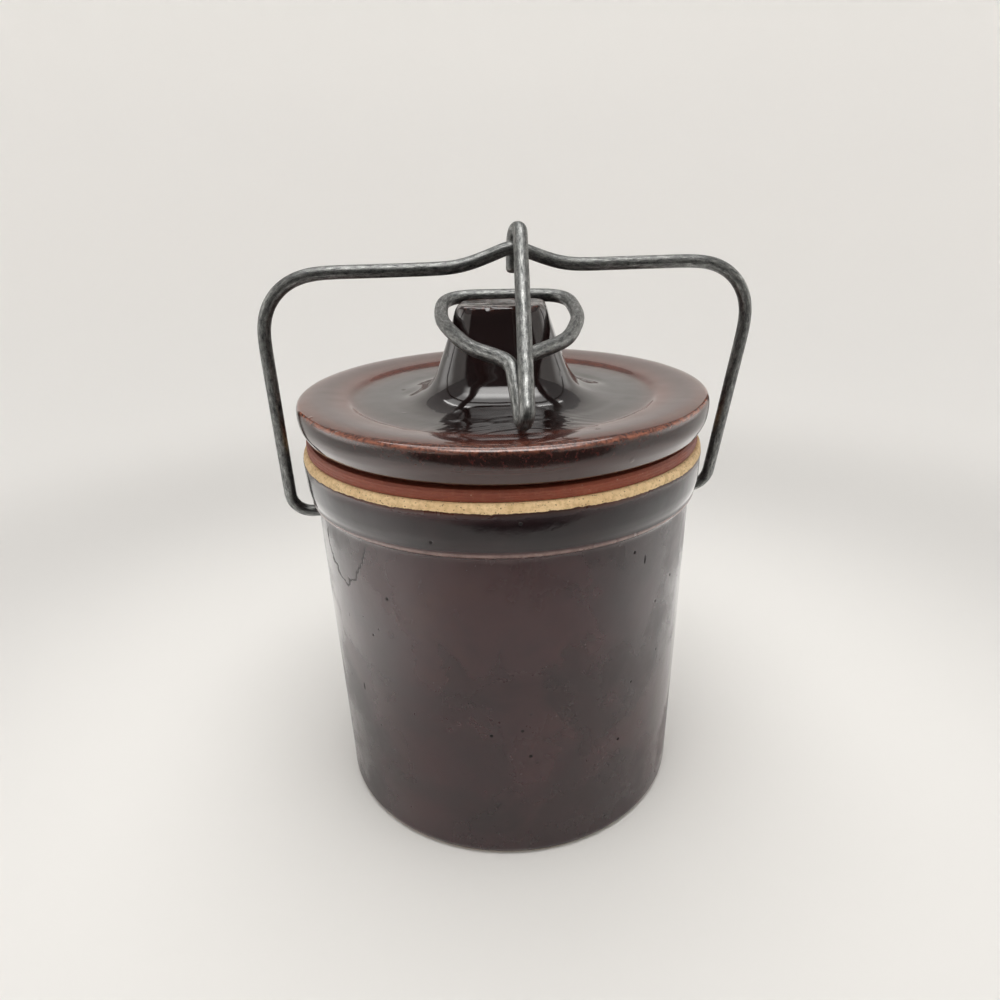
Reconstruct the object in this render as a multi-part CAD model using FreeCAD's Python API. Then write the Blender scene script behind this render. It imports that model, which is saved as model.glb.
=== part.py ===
import FreeCAD, Part
import math
import os

# Cheese crock: a straight glazed stoneware jar with a collar, a rubber sealing
# ring, a stoneware lid with a post-like knob, a wire bail hinged in two blind
# sockets under the collar, and a bent wire lever that hooks over the bail and
# whose loop goes round the knob.
# Frame: +Z up, origin at the centre of the foot, bail sockets on the X axis,
# front of the lever towards -Y. Millimetres.

V = FreeCAD.Vector

# ---------------------------------------------------------------- jar
FOOT_R = 44.1            # flat foot, radius
FOOT_ROUND = 1.1         # rounding between foot and wall
WALL_R_LOW = 45.1        # outer radius just above the foot
WALL_R_HIGH = 46.8       # outer radius just under the collar
COLLAR_Z = 81.2          # underside of the collar
COLLAR_R = 48.9          # collar, largest radius
COLLAR_FULL_Z = 85.4     # height where the collar reaches nearly its full radius
RIM_Z = 93.2             # top of the jar's unglazed rim
RIM_ROUND = 1.3          # rounding of the rim's outer edge
BORE_R_TOP = 41.4        # cavity radius at the rim
BORE_R_LOW = 39.6        # cavity radius above the floor
BORE_LIP = 0.8           # rounding at the mouth of the cavity
FLOOR_Z = 6.2            # top of the floor inside
FLOOR_FILLET = 5.0       # radius between floor and inner wall

# ---------------------------------------------------------------- sealing ring
RING_R_OUT = 47.4
RING_R_IN = 41.9
RING_T = 3.3
RING_EDGE = 0.45         # moulded edge rounding

# ---------------------------------------------------------------- lid
LID_R = 49.85            # largest radius of the lid
LID_SEAT_Z = RIM_Z + RING_T     # underside that sits on the sealing ring
LID_TOP_Z = 105.66       # raised outer ring
LID_SHIFT_X = 0.25       # the lid sits a little off the jar's axis
DISH_Z = 103.55          # bottom of the dish round the knob
SPIGOT_R = 40.7          # locating spigot under the lid
SPIGOT_Z = 92.3          # lower end of the spigot
HOLLOW_R = 35.0          # shallow hollow under the lid
HOLLOW_Z = 98.2          # ceiling of that hollow

# knob: a tapered post of rounded-rectangle section that flares into the dish
KNOB_X = 0.75            # centre of the post
KNOB_Y = -0.1
KNOB_TURN = -9.0         # turn of the post about Z, degrees
KNOB_TOP_Z = 125.4
KNOB_TOP_ROUND = 1.1
# height, width, depth, corner radius
KNOB_SECTIONS = (
    (102.9, 56.0, 52.0, 24.0),
    (103.9, 46.5, 42.0, 18.5),
    (105.8, 37.0, 32.0, 12.5),
    (108.3, 32.8, 27.4, 9.4),
    (111.2, 30.2, 24.6, 7.6),
    (116.0, 27.0, 21.4, 6.2),
    (121.0, 24.0, 18.6, 5.2),
    (125.4, 21.4, 16.4, 4.6),
)

# ---------------------------------------------------------------- bail
BAIL_WIRE = 3.0          # diameter
SOCKET_Z = 75.5          # height of the hinge axis
SOCKET_CLEAR = 0.35      # radial clearance of the sockets
SOCKET_END_R = 42.0      # closed end of the blind sockets
BAIL_END_X = 42.7        # wire ends inside the sockets
BAIL_LEAN = 7.5          # forward lean of the closed bail, degrees
BAIL_LEG_LEFT = 53.8     # leg offset, left
BAIL_LEG_RIGHT = 54.6    # leg offset at the hinge, right
BAIL_SPREAD_RIGHT = 60.4 # right leg has been bent outward: offset at the crossbar
BAIL_BAR = 58.85         # crossbar above the hinge axis, along the legs
BAIL_PEAK = 63.25        # peak of the crossbar where the lever hangs
BAIL_PEAK_X = 2.8
BAIL_CORNER = 13.5
BAIL_FOOT_CORNER = 5.0
BAIL_PEAK_FOOT_L = -9.0  # where the rise to the peak starts, left
BAIL_PEAK_FOOT_R = 14.0  # and right
BAIL_RISE_ROUND = 16.0
BAIL_PEAK_ROUND = 6.5

# ---------------------------------------------------------------- lever
LEVER_WIRE = 3.25        # diameter
HOOK_REACH = 3.42        # hook leg behind the bail wire, centre to centre
HOOK_FRONT = 1.9         # front bend of the hook ahead of the bail wire
HOOK_RISE = 4.3          # hook crown above the bail wire
HOOK_TAIL = 4.5          # cut end below the bail wire
HOOK_ROUND = 3.4
HOOK_X = 3.4
HAIRPIN_Y, HAIRPIN_Z = -42.9, 108.65   # front corner of the thumb hairpin
HAIRPIN_STEP_Y, HAIRPIN_STEP_Z = 2.75, -2.5
HAIRPIN_ROUND = 1.78
LOOP_BACK_Y, LOOP_BACK_Z = 10.4, 125.6    # straight rear wire of the loop
LOOP_SLOPE = 0.20        # the loop falls towards the front
# plan of the loop: x, y, bend radius, from the hairpin's return leg, round the
# left side, behind the knob, and round the right side to the cut end
LOOP_PLAN = (
    (-0.9, -30.9, 4.0),
    (-8.9, -23.7, 12.0),
    (-14.0, -6.0, 24.0),
    (-12.7, 11.7, 6.0),
    (18.6, 9.6, 4.8),
    (18.1, -7.4, 16.0),
    (12.6, -21.6, 12.0),
    (3.8, -28.0, 0.0),
)


def revolve(points, closed=True):
    """Solid of revolution about Z from (r, z) points or arcs.

    An entry (r, z) is a corner; an entry ((r1, z1), (rm, zm), (r2, z2)) is an
    arc through three points.
    """
    edges = []
    last = None
    first = None
    for p in points:
        if isinstance(p[0], tuple):
            a, m, b = [V(q[0], 0, q[1]) for q in p]
            if last is not None and last.distanceToPoint(a) > 1e-6:
                edges.append(Part.LineSegment(last, a).toShape())
            edges.append(Part.Arc(a, m, b).toShape())
            if first is None:
                first = a
            last = b
        else:
            q = V(p[0], 0, p[1])
            if last is not None:
                edges.append(Part.LineSegment(last, q).toShape())
            if first is None:
                first = q
            last = q
    if last.distanceToPoint(first) > 1e-6:
        edges.append(Part.LineSegment(last, first).toShape())
    face = Part.Face(Part.Wire(edges))
    solid = face.revolve(V(0, 0, 0), V(0, 0, 1), 360)
    if isinstance(solid, Part.Solid):
        return solid
    return Part.Solid(solid.Shells[0])


def arc3(centre, radius, deg0, deg1):
    """Arc entry for revolve(), by centre (r, z), radius and two angles."""
    mid = 0.5 * (deg0 + deg1)
    return tuple(
        (centre[0] + radius * math.cos(math.radians(d)),
         centre[1] + radius * math.sin(math.radians(d)))
        for d in (deg0, mid, deg1))


def smooth_profile(points):
    """Edges of one smooth curve through (r, z) points."""
    curve = Part.BSplineCurve()
    curve.interpolate([V(r, 0, z) for r, z in points])
    return curve.toShape()


def bent_wire(corners, diameter):
    """Round wire along straight runs joined by tangent arcs.

    corners holds (point, bend radius); the first and last radii are unused.
    """
    edges = []
    start = corners[0][0]
    radii = []
    length = 0.0
    for i in range(1, len(corners) - 1):
        a, b, c = corners[i - 1][0], corners[i][0], corners[i + 1][0]
        r = corners[i][1]
        d1 = (a - b).normalize()
        d2 = (c - b).normalize()
        ang = math.acos(max(-1.0, min(1.0, d1.dot(d2))))
        t = r / math.tan(ang / 2)
        p1 = b + d1 * t
        p2 = b + d2 * t
        bis = (d1 + d2).normalize()
        centre = b + bis * (r / math.sin(ang / 2))
        mid = centre + (b - centre).normalize() * r
        run = start.distanceToPoint(p1)
        if (p1 - start).dot(b - a) <= 0:
            raise ValueError("bends overlap at corner %d" % i)
        edges.append(Part.LineSegment(start, p1).toShape())
        edges.append(Part.Arc(p1, mid, p2).toShape())
        radii.append(round(r, 2))
        length += run + r * (math.pi - ang)
        start = p2
    end = corners[-1][0]
    edges.append(Part.LineSegment(start, end).toShape())
    length += start.distanceToPoint(end)
    path = Part.Wire(edges)
    direction = (corners[1][0] - corners[0][0]).normalize()
    circle = Part.Wire(Part.Circle(corners[0][0], direction, diameter / 2).toShape())
    solid = path.makePipeShell([circle], True, False)
    if not isinstance(solid, Part.Solid):
        solid = Part.Solid(solid.Shells[0])
    expect = math.pi * diameter ** 2 / 4 * length
    print("wire: length %.1f, volume %.1f of %.1f, radii %s"
          % (length, solid.Volume, expect, radii))
    return solid


def rounded_section(z, width, depth, radius):
    """Closed rounded-rectangle wire at height z, centred and turned as the knob."""
    hw, hd = width / 2, depth / 2
    r = min(radius, hw - 0.05, hd - 0.05)
    k = r * math.sqrt(0.5)
    corners = ((hw - r, hd - r, 1, 1), (-hw + r, hd - r, -1, 1),
               (-hw + r, -hd + r, -1, -1), (hw - r, -hd + r, 1, -1))
    edges = []
    for i, (cx, cy, sx, sy) in enumerate(corners):
        if i % 2 == 0:
            a, b = V(cx + sx * r, cy, 0), V(cx, cy + sy * r, 0)
        else:
            a, b = V(cx, cy + sy * r, 0), V(cx + sx * r, cy, 0)
        m = V(cx + sx * k, cy + sy * k, 0)
        edges.append((a, m, b))
    shapes = []
    for i, (a, m, b) in enumerate(edges):
        shapes.append(Part.Arc(a, m, b).toShape())
        nxt = edges[(i + 1) % 4][0]
        shapes.append(Part.LineSegment(b, nxt).toShape())
    wire = Part.Wire(shapes)
    wire.rotate(V(0, 0, 0), V(0, 0, 1), KNOB_TURN)
    wire.translate(V(KNOB_X, KNOB_Y, z))
    return wire


def bail_point(u, w):
    """Point of the leaning bail: u along X, w up the legs from the hinge."""
    lean = math.radians(BAIL_LEAN)
    return V(u, -w * math.sin(lean), SOCKET_Z + w * math.cos(lean))


def make_crock():
    wall_top = (WALL_R_HIGH, COLLAR_Z - 1.6)
    outer = [
        (0, 0),
        (FOOT_R, 0),
        ((FOOT_R, 0), (WALL_R_LOW - 0.32, 0.34), (WALL_R_LOW, FOOT_ROUND)),
        wall_top,
        (WALL_R_HIGH + 0.45, COLLAR_Z - 0.2),
        (COLLAR_R - 0.75, COLLAR_Z + 1.7),
        ((COLLAR_R - 0.75, COLLAR_Z + 1.7), (COLLAR_R - 0.12, COLLAR_FULL_Z),
         (COLLAR_R, 88.2)),
        (COLLAR_R - 0.1, RIM_Z - RIM_ROUND),
        arc3((COLLAR_R - 0.1 - RIM_ROUND, RIM_Z - RIM_ROUND), RIM_ROUND, 0, 90),
        (BORE_R_TOP + BORE_LIP, RIM_Z),
        arc3((BORE_R_TOP + BORE_LIP, RIM_Z - BORE_LIP), BORE_LIP, 90, 180),
        (BORE_R_LOW, FLOOR_Z + FLOOR_FILLET),
        arc3((BORE_R_LOW - FLOOR_FILLET, FLOOR_Z + FLOOR_FILLET), FLOOR_FILLET, 0, -90),
        (0, FLOOR_Z),
    ]
    jar = revolve(outer)
    for side in (-1, 1):
        hole = Part.makeCylinder(BAIL_WIRE / 2 + SOCKET_CLEAR, 10,
                                 V(side * SOCKET_END_R, 0, SOCKET_Z), V(side, 0, 0))
        jar = jar.cut(hole)
    return jar


def make_ring():
    z0, z1 = RIM_Z, RIM_Z + RING_T
    e = RING_EDGE
    return revolve([
        (RING_R_IN, z0),
        (RING_R_OUT - e, z0),
        arc3((RING_R_OUT - e, z0 + e), e, -90, 0),
        (RING_R_OUT, z1 - e),
        arc3((RING_R_OUT - e, z1 - e), e, 0, 90),
        (RING_R_IN, z1),
    ])


def make_lid():
    # upper surface from the outer edge inward: rolled rim, raised ring, soft
    # step into the dish
    rim = smooth_profile([
        (46.2, LID_SEAT_Z + 0.8), (47.6, 97.95), (48.9, 99.2), (49.6, 100.9),
        (LID_R, 102.6), (49.5, 104.16), (48.7, 105.16), (47.6, LID_TOP_Z),
        (45.5, LID_TOP_Z + 0.02), (43.0, 105.34), (41.0, 104.88), (39.0, 104.48),
        (36.0, 104.06), (33.0, 103.78), (29.0, 103.6), (24.0, DISH_Z)])
    a = rim.Curve.value(rim.Curve.FirstParameter)
    b = rim.Curve.value(rim.Curve.LastParameter)
    corners = [b, V(0, 0, DISH_Z), V(0, 0, HOLLOW_Z), V(HOLLOW_R - 1.5, 0, HOLLOW_Z),
               V(HOLLOW_R, 0, HOLLOW_Z - 1.5), V(HOLLOW_R + 0.6, 0, SPIGOT_Z + 0.6),
               V(HOLLOW_R + 1.2, 0, SPIGOT_Z), V(SPIGOT_R - 1.4, 0, SPIGOT_Z),
               V(SPIGOT_R - 0.5, 0, SPIGOT_Z + 0.9), V(SPIGOT_R, 0, LID_SEAT_Z),
               V(45.2, 0, LID_SEAT_Z), a]
    edges = [rim]
    for p, q in zip(corners[:-1], corners[1:]):
        edges.append(Part.LineSegment(p, q).toShape())
    face = Part.Face(Part.Wire(Part.__sortEdges__(edges)))
    disc = face.revolve(V(0, 0, 0), V(0, 0, 1), 360)
    if not isinstance(disc, Part.Solid):
        disc = Part.Solid(disc.Shells[0])

    sections = [rounded_section(*s) for s in KNOB_SECTIONS]
    post = Part.makeLoft(sections, True, False)
    top_edges = [e for e in post.Edges
                 if min(v.Z for v in e.Vertexes) > KNOB_TOP_Z - 1e-3]
    post = post.makeFillet(KNOB_TOP_ROUND, top_edges)
    lid = disc.fuse(post).removeSplitter()
    lid.translate(V(LID_SHIFT_X, 0, 0))
    if not isinstance(lid, Part.Solid):
        lid = lid.Solids[0]
    return lid


def make_bail():
    corners = [
        (bail_point(-BAIL_END_X, 0), 0),
        (bail_point(-BAIL_LEG_LEFT, 0), BAIL_FOOT_CORNER),
        (bail_point(-BAIL_LEG_LEFT, BAIL_BAR + 0.1), BAIL_CORNER),
        (bail_point(BAIL_PEAK_FOOT_L, BAIL_BAR), BAIL_RISE_ROUND),
        (bail_point(BAIL_PEAK_X, BAIL_PEAK), BAIL_PEAK_ROUND),
        (bail_point(BAIL_PEAK_FOOT_R, BAIL_BAR - 0.1), BAIL_RISE_ROUND),
        (bail_point(BAIL_SPREAD_RIGHT, BAIL_BAR - 0.3), BAIL_CORNER),
        (bail_point(BAIL_LEG_RIGHT, 0), BAIL_FOOT_CORNER),
        (bail_point(BAIL_END_X, 0), 0),
    ]
    return bent_wire(corners, BAIL_WIRE)


def make_lever():
    peak = bail_point(BAIL_PEAK_X, BAIL_PEAK - 0.45)
    corners = [
        (V(HOOK_X - 0.2, peak.y + HOOK_REACH, peak.z - HOOK_TAIL), 0),
        (V(HOOK_X, peak.y + HOOK_REACH, peak.z + HOOK_RISE), HOOK_ROUND),
        (V(HOOK_X + 0.75, peak.y - HOOK_FRONT, peak.z + HOOK_RISE), HOOK_ROUND),
        (V(0.4, HAIRPIN_Y, HAIRPIN_Z), HAIRPIN_ROUND),
        (V(-0.1, HAIRPIN_Y + HAIRPIN_STEP_Y, HAIRPIN_Z + HAIRPIN_STEP_Z), HAIRPIN_ROUND),
    ]
    for x, y, r in LOOP_PLAN:
        corners.append((V(x, y, LOOP_BACK_Z + LOOP_SLOPE * (y - LOOP_BACK_Y)), r))
    return bent_wire(corners, LEVER_WIRE)


def main():
    os.makedirs("parts", exist_ok=True)
    parts = {
        "crock": make_crock(),
        "sealing_ring": make_ring(),
        "lid": make_lid(),
        "bail": make_bail(),
        "lever": make_lever(),
    }
    for name, shape in parts.items():
        box = shape.BoundBox
        print("%-13s valid %s  volume %.0f  box %.2f %.2f %.2f  %.2f %.2f %.2f"
              % (name, shape.isValid(), shape.Volume, box.XMin, box.YMin, box.ZMin,
                 box.XMax, box.YMax, box.ZMax))
        shape.exportStep(os.path.join("parts", name + ".step"))


main()
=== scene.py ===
import math

import bpy
import numpy as np
from mathutils import Matrix, Vector


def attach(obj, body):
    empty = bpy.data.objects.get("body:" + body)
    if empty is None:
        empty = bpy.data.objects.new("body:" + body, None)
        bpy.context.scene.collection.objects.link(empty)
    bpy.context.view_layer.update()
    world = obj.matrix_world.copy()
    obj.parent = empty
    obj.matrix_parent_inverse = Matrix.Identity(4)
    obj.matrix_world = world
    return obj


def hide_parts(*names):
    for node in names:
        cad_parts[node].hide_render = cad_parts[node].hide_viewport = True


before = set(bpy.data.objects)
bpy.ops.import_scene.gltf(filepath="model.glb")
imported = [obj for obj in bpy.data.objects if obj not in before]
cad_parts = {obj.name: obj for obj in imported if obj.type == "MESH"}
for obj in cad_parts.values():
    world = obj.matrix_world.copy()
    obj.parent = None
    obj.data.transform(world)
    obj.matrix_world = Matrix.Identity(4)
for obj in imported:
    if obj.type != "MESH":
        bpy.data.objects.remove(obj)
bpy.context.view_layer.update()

MM = 0.001


# ---------------------------------------------------------------- helpers
def lattice(ix, iy, iz, seed):
    h = (ix * 374761393 + iy * 668265263 + iz * 2147483647 + seed * 1274126177) & 0xFFFFFFFF
    h = ((h ^ (h >> 13)) * 1274126177) & 0xFFFFFFFF
    h = (h ^ (h >> 16)) & 0xFFFFFFFF
    return h.astype(np.float64) / 4294967295.0 * 2 - 1


def vnoise(P, size, seed=0):
    """Smooth value noise in -1..1; P is (..., 3) in mm, size the cell in mm."""
    q = np.asarray(P, float) / np.asarray(size, float)
    i = np.floor(q).astype(np.int64)
    f = q - i
    f = f * f * f * (f * (f * 6 - 15) + 10)
    out = 0.0
    for dx in (0, 1):
        wx = f[..., 0] if dx else 1 - f[..., 0]
        for dy in (0, 1):
            wy = f[..., 1] if dy else 1 - f[..., 1]
            for dz in (0, 1):
                wz = f[..., 2] if dz else 1 - f[..., 2]
                out = out + wx * wy * wz * lattice(i[..., 0] + dx, i[..., 1] + dy, i[..., 2] + dz, seed)
    return out


def fbm(P, size, seed=0, octaves=3, gain=0.5):
    total, amp, norm = 0.0, 1.0, 0.0
    for k in range(octaves):
        total = total + amp * vnoise(P, np.asarray(size, float) / 2 ** k, seed + 17 * k)
        norm += amp
        amp *= gain
    return total / norm


def smooth(a, b, x):
    t = np.clip((x - a) / (b - a), 0, 1)
    return t * t * (3 - 2 * t)


def rounded_path(points, step_deg=6.0):
    """(x, y[, z], radius) points to a polyline with tangent arcs. Returns an array."""
    pts = [np.array(p[:-1], float) for p in points]
    rad = [p[-1] for p in points]
    out = [pts[0]]
    for k in range(1, len(pts) - 1):
        a, b, c, r = pts[k - 1], pts[k], pts[k + 1], rad[k]
        if r <= 0:
            out.append(b)
            continue
        d1 = (a - b) / np.linalg.norm(a - b)
        d2 = (c - b) / np.linalg.norm(c - b)
        ang = math.acos(max(-1.0, min(1.0, float(d1 @ d2))))
        t = r / math.tan(ang / 2)
        p1, p2 = b + d1 * t, b + d2 * t
        bis = (d1 + d2) / np.linalg.norm(d1 + d2)
        cen = b + bis * (r / math.sin(ang / 2))
        e1 = (p1 - cen) / r
        e2 = (p2 - cen) / r
        turn = math.pi - ang
        n = max(2, int(math.degrees(turn) / step_deg) + 1)
        for j in range(n + 1):
            w = j / n
            out.append(cen + r * (math.sin((1 - w) * turn) * e1 + math.sin(w * turn) * e2) / math.sin(turn))
    out.append(pts[-1])
    return np.array(out)


def resample(path, spacing):
    """Resamples a polyline; spacing is a number or a function of the point giving the local step."""
    seg = np.linalg.norm(np.diff(path, axis=0), axis=1)
    keep = np.r_[True, seg > 1e-6]
    path = path[keep]
    s = np.r_[0, np.cumsum(np.linalg.norm(np.diff(path, axis=0), axis=1))]
    fine = np.linspace(0, s[-1], max(50, int(s[-1] / 0.05)))
    at = np.stack([np.interp(fine, s, path[:, k]) for k in range(path.shape[1])], 1)
    if callable(spacing):
        local = np.array([spacing(p) for p in at])
    else:
        local = np.full(len(at), float(spacing))
    count = np.r_[0, np.cumsum(0.5 * (1 / local[1:] + 1 / local[:-1]) * np.diff(fine))]
    n = max(2, int(round(count[-1])))
    pick = np.interp(np.linspace(0, count[-1], n + 1), count, fine)
    return np.stack([np.interp(pick, s, path[:, k]) for k in range(path.shape[1])], 1)


def pchip(x, y, xi):
    """Monotone cubic through (x, y)."""
    x, y, xi = map(lambda a: np.asarray(a, float), (x, y, xi))
    h = np.diff(x)
    d = np.diff(y) / h
    m = np.zeros_like(y)
    m[0], m[-1] = d[0], d[-1]
    for k in range(1, len(x) - 1):
        if d[k - 1] * d[k] > 0:
            w1, w2 = 2 * h[k] + h[k - 1], h[k] + 2 * h[k - 1]
            m[k] = (w1 + w2) / (w1 / d[k - 1] + w2 / d[k])
    k = np.clip(np.searchsorted(x, xi) - 1, 0, len(x) - 2)
    t = (xi - x[k]) / h[k]
    return (
        (2 * t ** 3 - 3 * t ** 2 + 1) * y[k]
        + (t ** 3 - 2 * t ** 2 + t) * h[k] * m[k]
        + (-2 * t ** 3 + 3 * t ** 2) * y[k + 1]
        + (t ** 3 - t ** 2) * h[k] * m[k + 1]
    )


def catmull(x, Y, xi):
    """Smooth curve through rows Y (k, n) at x (k), read at xi: a cubic with centred slopes."""
    x = np.asarray(x, float)
    h = np.diff(x)
    d = np.diff(Y, axis=0) / h[:, None]
    m = np.zeros_like(Y)
    m[0], m[-1] = d[0], d[-1]
    m[1:-1] = (d[:-1] * h[1:, None] + d[1:] * h[:-1, None]) / (h[1:] + h[:-1])[:, None]
    k = np.clip(np.searchsorted(x, xi) - 1, 0, len(x) - 2)
    t = ((xi - x[k]) / h[k])[:, None]
    hk = h[k][:, None]
    return (
        (2 * t ** 3 - 3 * t ** 2 + 1) * Y[k]
        + (t ** 3 - 2 * t ** 2 + t) * hk * m[k]
        + (-2 * t ** 3 + 3 * t ** 2) * Y[k + 1]
        + (t ** 3 - t ** 2) * hk * m[k + 1]
    )


def grid_object(name, P, start=None, end=None, attributes=None):
    """A closed-round mesh from rows P (rows, cols, 3) in mm, with an end point at either end to close it."""
    rows, cols = P.shape[:2]
    co = P.reshape(-1, 3)
    i = np.arange(rows - 1)[:, None] * cols
    j = np.arange(cols)[None, :]
    j1 = (j + 1) % cols
    quads = np.stack([i + j, i + j1, i + cols + j1, i + cols + j], -1).reshape(-1, 4)
    faces = quads.tolist()
    extra = []
    if start is not None:
        extra.append(start)
        c = len(co)
        faces += [(c, int((k + 1) % cols), int(k)) for k in range(cols)]
    if end is not None:
        extra.append(end)
        c = len(co) + len(extra) - 1
        o = (rows - 1) * cols
        faces += [(c, int(o + k), int(o + (k + 1) % cols)) for k in range(cols)]
    full = np.vstack([co] + [np.array([e], float) for e in extra]) * MM
    me = bpy.data.meshes.new(name)
    me.from_pydata(full.tolist(), [], faces)
    me.update()
    me.polygons.foreach_set("use_smooth", np.ones(len(me.polygons), bool))
    for key, val in (attributes or {}).items():
        val = np.asarray(val, np.float32)
        if val.ndim == 3:
            flat = val.reshape(-1, 3)
            tail = [flat[:cols].mean(0)] if start is not None else []
            tail += [flat[-cols:].mean(0)] if end is not None else []
            flat = np.vstack([flat] + [t[None] for t in tail]) if tail else flat
            at = me.attributes.new(key, "FLOAT_VECTOR", "POINT")
            at.data.foreach_set("vector", flat.astype(np.float32).ravel())
        else:
            flat = val.reshape(-1)
            tail = [flat[:cols].mean()] if start is not None else []
            tail += [flat[-cols:].mean()] if end is not None else []
            flat = np.r_[flat, tail]
            at = me.attributes.new(key, "FLOAT", "POINT")
            at.data.foreach_set("value", flat.astype(np.float32))
    ob = bpy.data.objects.new(name, me)
    bpy.context.scene.collection.objects.link(ob)
    return ob


class Mat:
    """A small builder for node materials."""

    def __init__(self, name):
        self.m = bpy.data.materials.new(name)
        self.m.use_nodes = True
        self.t = self.m.node_tree
        self.t.nodes.clear()
        self.out = self.t.nodes.new("ShaderNodeOutputMaterial")
        self.p = self.t.nodes.new("ShaderNodeBsdfPrincipled")
        self.t.links.new(self.p.outputs[0], self.out.inputs[0])
        self.tc = self.t.nodes.new("ShaderNodeTexCoord")
        self.obj = self.tc.outputs["Object"]

    def put(self, sock, v):
        if isinstance(v, bpy.types.NodeSocket):
            self.t.links.new(v, sock)
        else:
            sock.default_value = v

    def mapping(self, vec, scale=(1, 1, 1), loc=(0, 0, 0), rot=(0, 0, 0)):
        n = self.t.nodes.new("ShaderNodeMapping")
        self.put(n.inputs["Vector"], vec)
        n.inputs["Scale"].default_value = scale
        n.inputs["Location"].default_value = loc
        n.inputs["Rotation"].default_value = rot
        return n.outputs[0]

    def noise(self, scale, detail=3.0, rough=0.55, vec=None, dist=0.0, color=False):
        n = self.t.nodes.new("ShaderNodeTexNoise")
        self.put(n.inputs["Vector"], vec or self.obj)
        n.inputs["Scale"].default_value = scale
        n.inputs["Detail"].default_value = detail
        n.inputs["Roughness"].default_value = rough
        n.inputs["Distortion"].default_value = dist
        return n.outputs["Color" if color else "Fac"]

    def voronoi(self, scale, vec=None, feature="F1", rand=1.0, out="Distance"):
        n = self.t.nodes.new("ShaderNodeTexVoronoi")
        n.feature = feature
        self.put(n.inputs["Vector"], vec or self.obj)
        n.inputs["Scale"].default_value = scale
        n.inputs["Randomness"].default_value = rand
        return n.outputs[out]

    def math(self, op, a, b=None, c=None, clamp=False):
        n = self.t.nodes.new("ShaderNodeMath")
        n.operation = op
        n.use_clamp = clamp
        for k, v in enumerate((a, b, c)):
            if v is not None:
                self.put(n.inputs[k], v)
        return n.outputs[0]

    def remap(self, v, a, b, lo=0.0, hi=1.0, smoothstep=True):
        n = self.t.nodes.new("ShaderNodeMapRange")
        n.interpolation_type = "SMOOTHSTEP" if smoothstep else "LINEAR"
        self.put(n.inputs["Value"], v)
        n.inputs["From Min"].default_value = a
        n.inputs["From Max"].default_value = b
        n.inputs["To Min"].default_value = lo
        n.inputs["To Max"].default_value = hi
        return n.outputs["Result"]

    def ramp(self, v, stops, mode="LINEAR"):
        n = self.t.nodes.new("ShaderNodeValToRGB")
        n.color_ramp.interpolation = mode
        e = n.color_ramp.elements
        while len(e) < len(stops):
            e.new(0.5)
        for k, (pos, col) in enumerate(stops):
            e[k].position = pos
            e[k].color = (*col, 1) if len(col) == 3 else col
        self.put(n.inputs[0], v)
        return n.outputs[0]

    def mix(self, f, a, b, mode="MIX"):
        n = self.t.nodes.new("ShaderNodeMix")
        n.data_type = "RGBA"
        n.blend_type = mode
        self.put(n.inputs[0], f)
        self.put(n.inputs[6], (*a, 1) if isinstance(a, tuple) and len(a) == 3 else a)
        self.put(n.inputs[7], (*b, 1) if isinstance(b, tuple) and len(b) == 3 else b)
        return n.outputs[2]

    def lerp(self, f, a, b):
        n = self.t.nodes.new("ShaderNodeMix")
        n.data_type = "FLOAT"
        self.put(n.inputs[0], f)
        self.put(n.inputs[2], a)
        self.put(n.inputs[3], b)
        return n.outputs[0]

    def attr(self, name, vector=False):
        n = self.t.nodes.new("ShaderNodeAttribute")
        n.attribute_name = name
        return n.outputs["Vector" if vector else "Fac"]

    def xyz(self, vec=None):
        n = self.t.nodes.new("ShaderNodeSeparateXYZ")
        self.put(n.inputs[0], vec or self.obj)
        return n.outputs

    def bump(self, height, distance, strength=1.0, normal=None, invert=False):
        n = self.t.nodes.new("ShaderNodeBump")
        n.invert = invert
        n.inputs["Strength"].default_value = strength
        n.inputs["Distance"].default_value = distance
        self.put(n.inputs["Height"], height)
        if normal is not None:
            self.put(n.inputs["Normal"], normal)
        return n.outputs[0]

    def set(self, **kw):
        for k, v in kw.items():
            self.put(self.p.inputs[k.replace("_", " ")], v)
        return self.m


# ---------------------------------------------------------------- camera
def photo_camera():
    p, y, ro, turn = 0.3785, -0.0011, -0.0284, math.radians(6)
    fwd = np.array([math.sin(y) * math.cos(p), math.cos(y) * math.cos(p), -math.sin(p)])
    right = np.array([math.cos(y), -math.sin(y), 0.0])
    up = np.cross(right, fwd)
    r2 = math.cos(ro) * right + math.sin(ro) * up
    u2 = -math.sin(ro) * right + math.cos(ro) * up
    c, s = math.cos(turn), math.sin(turn)
    rot = np.array([[c, s, 0], [-s, c, 0], [0, 0, 1]])
    fwd, r2, u2 = rot @ fwd, rot @ r2, rot @ u2
    cam = bpy.data.cameras.new("camera")
    cam.sensor_width = 36.0
    cam.sensor_fit = "HORIZONTAL"
    cam.lens = 26.35
    cam.clip_start, cam.clip_end = 0.005, 20
    ob = bpy.data.objects.new("camera", cam)
    m = Matrix.Identity(4)
    for k in range(3):
        m[k][0], m[k][1], m[k][2] = r2[k], u2[k], -fwd[k]
    m[0][3], m[1][3], m[2][3] = -0.01929, -0.17738, 0.14582
    ob.matrix_world = m
    bpy.context.scene.collection.objects.link(ob)
    bpy.context.scene.camera = ob
    return ob


photo_camera()

# ---------------------------------------------------------------- shapes
COLS = 440
PHI = np.linspace(0, 2 * math.pi, COLS, endpoint=False)


def round_piece(path, shift=(0.0, 0.0)):
    """Rows of a turned piece from (r, z) points."""
    r, z = path[:, 0][:, None], path[:, 1][:, None]
    return np.stack(
        [r * np.cos(PHI)[None] + shift[0], r * np.sin(PHI)[None] + shift[1], z + 0 * PHI[None]], -1
    )


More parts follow.
